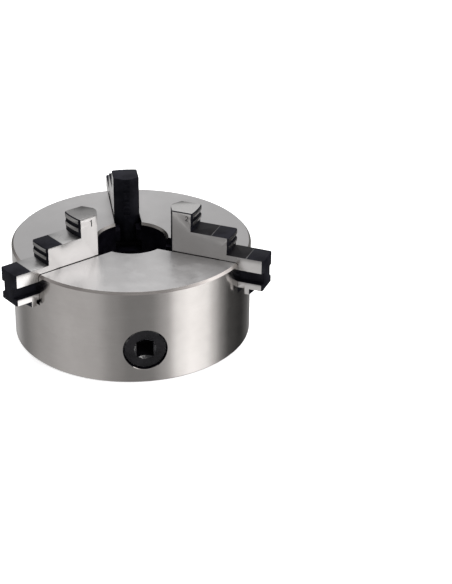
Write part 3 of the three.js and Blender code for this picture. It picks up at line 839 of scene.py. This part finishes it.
def jaw(name, station):
    number = int(name[-1])
    piece = jaw_blank(name)
    cut_steps(piece)
    if number > 1:  # jaw 1 keeps sharp edges beside its nose
        cut(piece, *long_edge_cutters(TOP_CHAMFER))
    cut(piece, *notch_cutters())
    cut_guide_grooves(piece)
    add_drive_teeth(piece, station)
    tidied(piece)
    split_floors(piece)
    paint_jaw(piece, number)
    softened(piece, JAW_BREAK, material_index=0)
    engrave(piece, number)
    move(piece, about_z(station))
    return smoothed(piece)


# ---------------------------------------------------------------- bevel gears

def tapered(obj):
    """Tapers gear teeth, made along +X about the pinion axis, to the gears' common apex."""
    for vertex in obj.data.vertices:
        scale = vertex.co.x / GEAR_OUTER
        vertex.co = (vertex.co.x, vertex.co.y * scale, PINION_AXIS + vertex.co.z * scale)
    return obj


def scroll_tooth():
    middle = math.pi * GEAR_MODULE / 4 - BACKLASH / 2
    slope = math.tan(PRESSURE_ANGLE)
    buried = TOOTH_ROOT + TOOTH_OVERLAP
    tip, root = middle - TOOTH_TIP * slope, middle + buried * slope
    section = [(-tip, PITCH_RADIUS - TOOTH_TIP), (tip, PITCH_RADIUS - TOOTH_TIP),
               (root, PITCH_RADIUS + buried), (-root, PITCH_RADIUS + buried)]
    return tapered(skinned("tooth", [[(x, y, z) for y, z in section] for x in (GEAR_INNER, GEAR_OUTER)]))


def pinion_section():
    """Ten involute teeth at their large ends, with a tooth space at the top."""
    base = PITCH_RADIUS * math.cos(PRESSURE_ANGLE)
    tip, root = PITCH_RADIUS + TOOTH_TIP, PITCH_RADIUS - TOOTH_ROOT

    def involute(angle):
        return math.tan(angle) - angle

    def half_angle(radius):
        pressure = math.acos(min(1.0, base / radius))
        at_pitch = (math.pi * GEAR_MODULE / 4 - BACKLASH / 2) / PITCH_RADIUS
        return at_pitch + involute(PRESSURE_ANGLE) - involute(pressure)

    flank = [root] + [base + (tip - base) * i / FLANK_STEPS for i in range(FLANK_STEPS + 1)]
    section = []
    for tooth in range(PINION_TEETH):
        middle = math.pi / 2 + 2 * math.pi * (tooth + 0.5) / PINION_TEETH
        for side, radii in ((-1, flank), (1, flank[::-1])):
            for radius in radii:
                angle = middle + side * half_angle(radius)
                section.append((radius * math.cos(angle), radius * math.sin(angle)))
    return section


def pinion(name, station):
    core_radius = SPIGOT_RADIUS + 1 * MM
    core_end = PINION_SHOULDER - 1.5 * MM
    shoulder_inner = PINION_RADIUS - 4 * MM
    groove_in = RETAINER_STATION - RETAINER_GROOVE_HALF
    groove_out = RETAINER_STATION + RETAINER_GROOVE_HALF
    shaft = spun(f"{name}_fine", [
        (0, SPIGOT_END),
        (SPIGOT_RADIUS - BREAK, SPIGOT_END),
        (SPIGOT_RADIUS, SPIGOT_END + BREAK),
        (SPIGOT_RADIUS, GEAR_INNER + OVERRUN),
        (core_radius, core_end),
        (shoulder_inner, PINION_SHOULDER),
        (PINION_RADIUS - BREAK, PINION_SHOULDER),
        (PINION_RADIUS, PINION_SHOULDER + BREAK),
        (PINION_RADIUS, groove_in),
        (RETAINER_GROOVE_FLOOR, groove_in),
        (RETAINER_GROOVE_FLOOR, groove_out),
        (PINION_RADIUS, groove_out),
        (PINION_RADIUS, PINION_FACE - PINION_CHAMFER),
        (PINION_RADIUS - PINION_CHAMFER, PINION_FACE),
        (0, PINION_FACE),
    ], SMALL_STEPS * 2)
    along_x(shaft, PINION_AXIS)
    gear = skinned("gear", [[(x, y, z) for y, z in pinion_section()] for x in (GEAR_INNER, GEAR_OUTER)])
    joined(shaft, tapered(gear))
    floor = PINION_FACE - SOCKET_DEPTH
    outside = PINION_FACE + OVERRUN
    bottom = PINION_AXIS - SOCKET_HALF
    socket = block("socket", (floor, outside), SOCKET_HALF, bottom, bottom + 2 * SOCKET_HALF)
    mouth = SOCKET_HALF * SOCKET_MOUTH
    lead = spun("lead", [(0, PINION_FACE - mouth), (mouth + OVERRUN, outside), (0, outside)], SMALL_STEPS)
    cut(shaft, socket, along_x(lead, PINION_AXIS))
    tidied(shaft)
    edge_zone = 3 * MM

    def rule(centre, normal):
        slanted = 0.3 < abs(normal.x) < 0.95
        return "edge" if slanted and centre.x > PINION_FACE - edge_zone else "black"

    painted(shaft, {"black": PINION_BLACK, "edge": PINION_EDGE}, rule)
    move(shaft, about_z(station))
    return smoothed(shaft)


def spiral_rib(inner, outer):
    """The scroll's flat spiral thread, trimmed to the plate's ring."""
    first = (inner - SCROLL_PITCH - SCROLL_PHASE) * 360 / SCROLL_PITCH
    count = math.ceil(((outer - inner) / SCROLL_PITCH + 2) * SCROLL_STEPS)
    sides = []
    for offset in (SCROLL_RIB_WIDTH / 2, -SCROLL_RIB_WIDTH / 2):
        side = []
        for i in range(count + 1):
            degrees = first + 360 * i / SCROLL_STEPS
            radius = groove_radius(degrees) + SCROLL_PITCH / 2 + offset
            side.append((radius * math.cos(math.radians(degrees)), radius * math.sin(math.radians(degrees))))
        sides.append(side)
    bm = bmesh.new()
    lows = [[bm.verts.new((x, y, SCROLL_FLOOR - OVERRUN)) for x, y in side] for side in sides]
    highs = [[bm.verts.new((x, y, SCROLL_HIGH.z)) for x, y in side] for side in sides]
    for i in range(count):
        bm.faces.new([lows[0][i], lows[0][i + 1], lows[1][i + 1], lows[1][i]])
        bm.faces.new([highs[0][i], highs[0][i + 1], highs[1][i + 1], highs[1][i]])
        for low, high in zip(lows, highs):
            bm.faces.new([low[i], low[i + 1], high[i + 1], high[i]])
    for i in (0, count):
        bm.faces.new([lows[0][i], lows[1][i], highs[1][i], highs[0][i]])
    rib = add_object("rib", bm)
    zone_in, zone_out = inner + SCROLL_TRIM, outer - SCROLL_TRIM
    zone = spun("zone", [(zone_in, 0), (zone_out, 0), (zone_out, BODY_HEIGHT), (zone_in, BODY_HEIGHT)],
                ROUND_STEPS // 2)
    return combined(rib, [zone], "INTERSECT")


def scroll_plate():
    inner, outer = HUB_RADIUS + GAP, CAVITY_RADIUS - GAP
    rim_face = PINION_AXIS + PINION_RADIUS + GAP

    def root_at(radius):
        return PINION_AXIS + (PITCH_RADIUS + TOOTH_ROOT) * radius / GEAR_OUTER

    step_in, step_out = GEAR_INNER - 1 * MM, GEAR_OUTER + 0.6 * MM
    plate = spun("scroll_plate_fine", [
        (inner, SCROLL_HUB_FACE), (step_in, SCROLL_HUB_FACE), (step_in, root_at(step_in)),
        (step_out, root_at(step_out)), (step_out, rim_face), (outer, rim_face),
        (outer, SCROLL_FLOOR), (inner, SCROLL_FLOOR),
    ], ROUND_STEPS // 2)

    rib = spiral_rib(inner, outer)
    pitch_angle = 360 / SCROLL_TEETH
    start = PINION_STATIONS["pinion_1"]
    teeth = copies(scroll_tooth(), [start + pitch_angle * i for i in range(SCROLL_TEETH)])
    joined(plate, rib, *teeth)
    tidied(plate)
    # The whole scroll takes the near-black of the painted shade.
    painted(plate, {"steel": SCROLL_PAINTED_SHADE}, lambda centre, normal: "steel")
    return smoothed(plate)


# ---------------------------------------------------------------- cover and screws

def back_cover():
    low = REGISTER_DEPTH
    high = HUB_FACE - GAP
    collar_top = COVER_HIGH.z
    cover = spun("back_cover_fine", [
        (BORE_RADIUS, low + BREAK), (BORE_RADIUS + BREAK, low),
        (COVER_HIGH.x - BREAK, low), (COVER_HIGH.x, low + BREAK), (COVER_HIGH.x, high),
        (COLLAR_OUTER, high), (COLLAR_OUTER, collar_top), (COLLAR_INNER, collar_top),
        (COLLAR_INNER, high), (BORE_RADIUS, high),
    ], ROUND_STEPS // 2)
    head, shank = COVER_SCREW_HEAD + GAP, COVER_SCREW_RADIUS + GAP
    sink = spun("sink", [
        (0, low - OVERRUN), (head, low - OVERRUN), (head, low + GAP),
        (shank, low + GAP + head - shank), (shank, high + OVERRUN), (0, high + OVERRUN),
    ], SMALL_STEPS // 2)
    move(sink, Matrix.Translation((COVER_SCREW_CIRCLE, 0, 0)))
    notch = block("notch", (HUB_RADIUS, COLLAR_OUTER + OVERRUN), SPIGOT_RADIUS + GAP,
                  PINION_AXIS - SPIGOT_RADIUS - GAP, collar_top + LONG_OVERRUN)
    cut(cover, *copies(notch, PINION_STATIONS.values()))
    cut(cover, *copies(sink, COVER_SCREW_STATIONS.values()))
    tidied(cover)
    painted(cover, {"iron": COVER_IRON}, lambda centre, normal: "iron")
    return smoothed(cover)


def threaded(name, profile, threads, steps=36):
    """Screw about Z: plain (radius, height) stretches, with helical threads between two heights."""
    start, end = threads
    rows = int((end - start) / THREAD_PITCH * THREAD_ROWS)
    loops = []
    for radius, height in profile:
        loops.append([(radius * math.cos(a), radius * math.sin(a), height) for a in turns(steps)])
        if abs(height - start) < MERGE_DISTANCE:
            for row in range(1, rows):
                z = start + (end - start) * row / rows
                loop = []
                for angle in turns(steps):
                    wave = abs(((z - start) / THREAD_PITCH - angle / (2 * math.pi)) % 1 - 0.5) * 2
                    fade = min(1, (z - start) / THREAD_PITCH, (end - z) / THREAD_PITCH)
                    r = radius - THREAD_DEPTH * wave * fade
                    loop.append((r * math.cos(angle), r * math.sin(angle), z))
                loops.append(loop)
    return skinned(name, loops)


def hex_tool(low, high):
    outline = arc(HEX_SOCKET / math.sqrt(3), 0, 300, 5)
    return prism("hex", outline, low, high)


def dark_screw(screw, x, station):
    tidied(screw)
    painted(screw, {"black": SCREW_BLACK}, lambda centre, normal: "black")
    move(screw, about_z(station) @ Matrix.Translation((x, 0, 0)))
    return smoothed(screw)


def cover_screw(name, station):
    base, tip = SCREW_LOW.z, SCREW_HIGH.z
    neck = base + COVER_SCREW_HEAD - COVER_SCREW_RADIUS
    start, end = neck + COVER_SCREW_PLAIN, tip - COVER_SCREW_POINT
    screw = threaded(f"{name}_fine", [
        (COVER_SCREW_HEAD - BREAK, base),
        (COVER_SCREW_HEAD, base + COVER_SCREW_HEAD_LAND),
        (COVER_SCREW_RADIUS, neck),
        (COVER_SCREW_RADIUS, start),
        (COVER_SCREW_RADIUS, end),
        (COVER_SCREW_RADIUS - COVER_SCREW_POINT, tip),
    ], (start, end))
    cut(screw, hex_tool(base - OVERRUN, base + COVER_SCREW_HEX_DEPTH))
    return dark_screw(screw, COVER_SCREW_CIRCLE, station)


def retaining_screw(name, station):
    base, tip = RETAINER_LOW.z, RETAINER_HIGH.z
    start, end = base + RETAINER_CHAMFER, RETAINER_SHOULDER
    screw = threaded(f"{name}_fine", [
        (RETAINER_RADIUS - RETAINER_CHAMFER, base),
        (RETAINER_RADIUS, start),
        (RETAINER_RADIUS, end),
        (RETAINER_DOG_RADIUS, end + 1 * MM),
        (RETAINER_DOG_RADIUS, tip - BREAK),
        (RETAINER_DOG_RADIUS - BREAK, tip),
    ], (start, end))
    cut(screw, hex_tool(base - OVERRUN, base + RETAINER_HEX_DEPTH))
    return dark_screw(screw, RETAINER_STATION, station)


# ---------------------------------------------------------------- the chuck

def place(piece, node, body, slot):
    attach(piece, body)
    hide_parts(node)


place(chuck_body(), "chuck_body", "body", "body_steel")
place(back_cover(), "back_cover", "body", "cover_iron")
place(scroll_plate(), "scroll_plate", "scroll", "scroll_steel")
for name, station in JAW_STATIONS.items():
    place(jaw(name, station), name, name, "jaw_steel")
for name, station in PINION_STATIONS.items():
    place(pinion(name, station), name, name, "pinion_steel")
    retainer = "pinion_retaining_screw_" + name[-1]
    place(retaining_screw(retainer, station), retainer, "body", "screw_steel")
for name, station in COVER_SCREW_STATIONS.items():
    place(cover_screw(name, station), name, "body", "screw_steel")


# ---------------------------------------------------------------- stage, light and camera

FLOOR_RADIUS = 4
FLOOR_STEPS = 72
FLOOR_GLOW = 0.55


def stage_floor():
    bm = bmesh.new()
    rim = arc(FLOOR_RADIUS, 0, 360 - 360 / FLOOR_STEPS, FLOOR_STEPS - 1)
    bm.faces.new([bm.verts.new((x, y, 0)) for x, y in rim])
    floor = add_object("studio_floor", bm)
    look = Look("studio_floor", roughness=0.6)
    look.shader.inputs["Base Color"].default_value = (0.93, 0.93, 0.93, 1)
    look.shader.inputs["Emission Color"].default_value = (1, 1, 1, 1)
    look.shader.inputs["Emission Strength"].default_value = FLOOR_GLOW
    floor.data.materials.append(look.material)
    floor.visible_glossy = False


CAMERA_AZIMUTH = math.radians(-9.4)
CAMERA_ELEVATION = math.radians(27.87)
CAMERA_ROLL = math.radians(0.885)
CAMERA_DISTANCE = 1.0403
CAMERA_LENS = 94.4
AIM_RIGHT = 63.6 * MM  # the view's centre lies this far beside the chuck's middle
AIM_DOWN = 7.85 * MM

# Brightness of the studio by bearing from the camera, in degrees, positive to its right:
# first of the walls and the table below eye level, then of the softboxes above it.
WALLS = [
    (-180, 0.45), (-150, 0.5), (-126, 0.25), (-95, 0.46), (-60, 0.62), (-35, 0.58), (-14, 0.36),
    (0, 0.26), (20, 0.27), (36, 0.5), (48, 1.25), (62, 1.53), (78, 1.38), (90, 0.75), (98, 0.3),
    (110, 0.07), (135, 0.03), (150, 0.1), (165, 0.25), (180, 0.45),
]
SOFTBOXES = [
    (-180, 0.73), (-100, 0.7), (-70, 0.42), (0, 0.42), (35, 0.8), (60, 2.2), (100, 2.3), (130, 0.73),
    (180, 0.73),
]
# As the sine of the elevation: where a dim skyline, the softboxes and the ceiling start to take
# over from what is below them, and where they have.
SKYLINE_RISE, SKYLINE = (-0.3, -0.15), 0.25
SOFTBOX_RISE = (0.12, 0.3)
CEILING_RISE, CEILING = (0.65, 0.85), 0.5


def studio_world():
    world = bpy.data.worlds.new("studio")
    bpy.context.scene.world = world
    world.use_nodes = True
    tree = world.node_tree
    background = tree.nodes["Background"]

    def add(kind, inputs=(), **settings):
        node = tree.nodes.new("ShaderNode" + kind)
        for name, value in settings.items():
            setattr(node, name, value)
        for key, value in dict(inputs).items():
            if isinstance(value, bpy.types.NodeSocket):
                tree.links.new(value, node.inputs[key])
            else:
                node.inputs[key].default_value = value
        return node

    direction = add("TexCoord").outputs["Generated"]
    centre = math.radians(-90) + CAMERA_AZIMUTH
    turned = add("VectorRotate", {"Vector": direction, "Angle": -centre}, rotation_type="Z_AXIS").outputs[0]
    parts = add("SeparateXYZ", {0: turned})
    angle = add("Math", {0: parts.outputs[1], 1: parts.outputs[0]}, operation="ARCTAN2").outputs[0]
    bearing = add("MapRange", {0: angle, 1: -math.pi, 2: math.pi}).outputs[0]

    def by_bearing(levels):
        ramp = add("ValToRGB", {0: bearing})
        ramp.color_ramp.interpolation = "EASE"
        stops = ramp.color_ramp.elements
        while len(stops) < len(levels):
            stops.new(0.5)
        for stop, (degrees, level) in zip(stops, levels):
            stop.position = (degrees + 180) / 360
            stop.color = (level, level, level, 1)
        return ramp.outputs[0]

    def above(colour, rise, upper):
        inputs = {0: parts.outputs[2], 1: rise[0], 2: rise[1]}
        share = add("MapRange", inputs, interpolation_type="SMOOTHSTEP").outputs[0]
        return add("Mix", {"Factor": share, 6: colour, 7: upper}, data_type="RGBA").outputs[2]

    colour = above(by_bearing(WALLS), SKYLINE_RISE, (SKYLINE, SKYLINE, SKYLINE, 1))
    colour = above(colour, SOFTBOX_RISE, by_bearing(SOFTBOXES))
    colour = above(colour, CEILING_RISE, (CEILING, CEILING, CEILING, 1))
    seen = add("LightPath").outputs["Is Camera Ray"]  # the camera itself sees a plain white backdrop
    colour = add("Mix", {"Factor": seen, 6: colour, 7: (1, 1, 1, 1)}, data_type="RGBA").outputs[2]
    tree.links.new(colour, background.inputs["Color"])


def soft_light(name, place, target, size, power):
    data = bpy.data.lights.new(name, "AREA")
    data.shape = "DISK"
    data.size = size
    data.energy = power
    light = bpy.data.objects.new(name, data)
    light.location = place
    light.rotation_euler = (Vector(target) - Vector(place)).to_track_quat("-Z", "Y").to_euler()
    bpy.context.scene.collection.objects.link(light)


def studio_camera():
    a, e = CAMERA_AZIMUTH, CAMERA_ELEVATION
    back = Vector((math.sin(a) * math.cos(e), -math.cos(a) * math.cos(e), math.sin(e)))
    level = Vector((math.cos(a), math.sin(a), 0))
    upward = back.cross(level)
    right = level * math.cos(CAMERA_ROLL) + upward * math.sin(CAMERA_ROLL)
    up = upward * math.cos(CAMERA_ROLL) - level * math.sin(CAMERA_ROLL)
    aim = Vector((0, 0, BODY_HEIGHT / 2)) + right * AIM_RIGHT - up * AIM_DOWN
    data = bpy.data.cameras.new("camera")
    data.lens = CAMERA_LENS
    camera = bpy.data.objects.new("camera", data)
    turn = Matrix((right, up, back)).transposed().to_4x4()
    camera.matrix_world = Matrix.Translation(aim + back * CAMERA_DISTANCE) @ turn
    bpy.context.scene.collection.objects.link(camera)
    bpy.context.scene.camera = camera


stage_floor()
studio_world()
soft_light("overhead", place=(0.15, 0.25, 1.5), target=(0, 0, 0), size=1.3, power=22)
studio_camera()
bpy.context.scene.view_settings.view_transform = "Standard"
